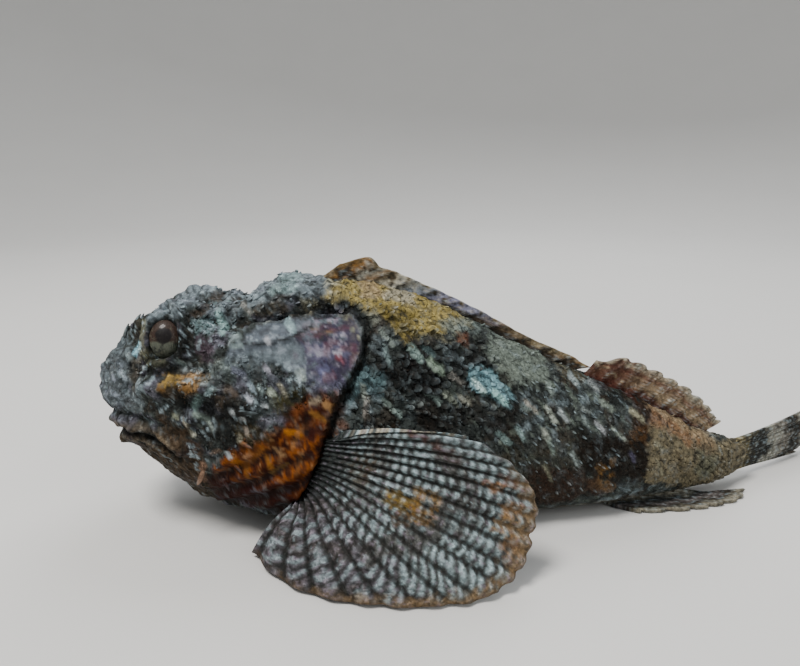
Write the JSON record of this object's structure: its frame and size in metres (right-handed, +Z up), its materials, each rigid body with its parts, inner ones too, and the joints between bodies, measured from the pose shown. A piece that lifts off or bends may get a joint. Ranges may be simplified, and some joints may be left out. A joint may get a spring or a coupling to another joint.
{
  "type": "scorpionfish",
  "caption": "Life-size still of a mottled, spiny-headed bottom fish at rest on its belly, with fan-shaped pectoral fins spread on the floor and the tail curving away.",
  "frame": {"origin": "on the flat of the belly that rests on the floor, on the midplane of the straight front body, below the roots of the pectoral fins", "axes": "+X runs from the snout toward the tail, the fish's left side faces -Y, +Z is up"},
  "size_m": [0.3005, 0.1402, 0.0959],
  "materials": {
    "mottled_skin": "damp, mottled, satin",
    "jaw_skin": "damp, mottled, satin",
    "gill_cover_skin": "damp, smooth, satin",
    "tail_skin": "damp, mottled, satin",
    "banded_fin": "damp, banded, satin",
    "brown_fin": "damp, mottled, satin",
    "eye": "glossy, wet"
  },
  "bodies": {
    "root": {"head": "mottled_skin", "lower_jaw": "jaw_skin", "gill_cover_left": "gill_cover_skin", "gill_cover_right": "gill_cover_skin", "eye_left": "eye", "eye_right": "eye", "torso": "mottled_skin", "tail_stalk": "tail_skin", "pectoral_fin_left": "banded_fin", "pectoral_fin_right": "banded_fin", "pelvic_fin_left": "brown_fin", "pelvic_fin_right": "brown_fin", "dorsal_fin_spiny": "brown_fin", "dorsal_fin_soft": "brown_fin", "anal_fin": "brown_fin", "caudal_fin": "banded_fin"}
  },
  "joints": []
}
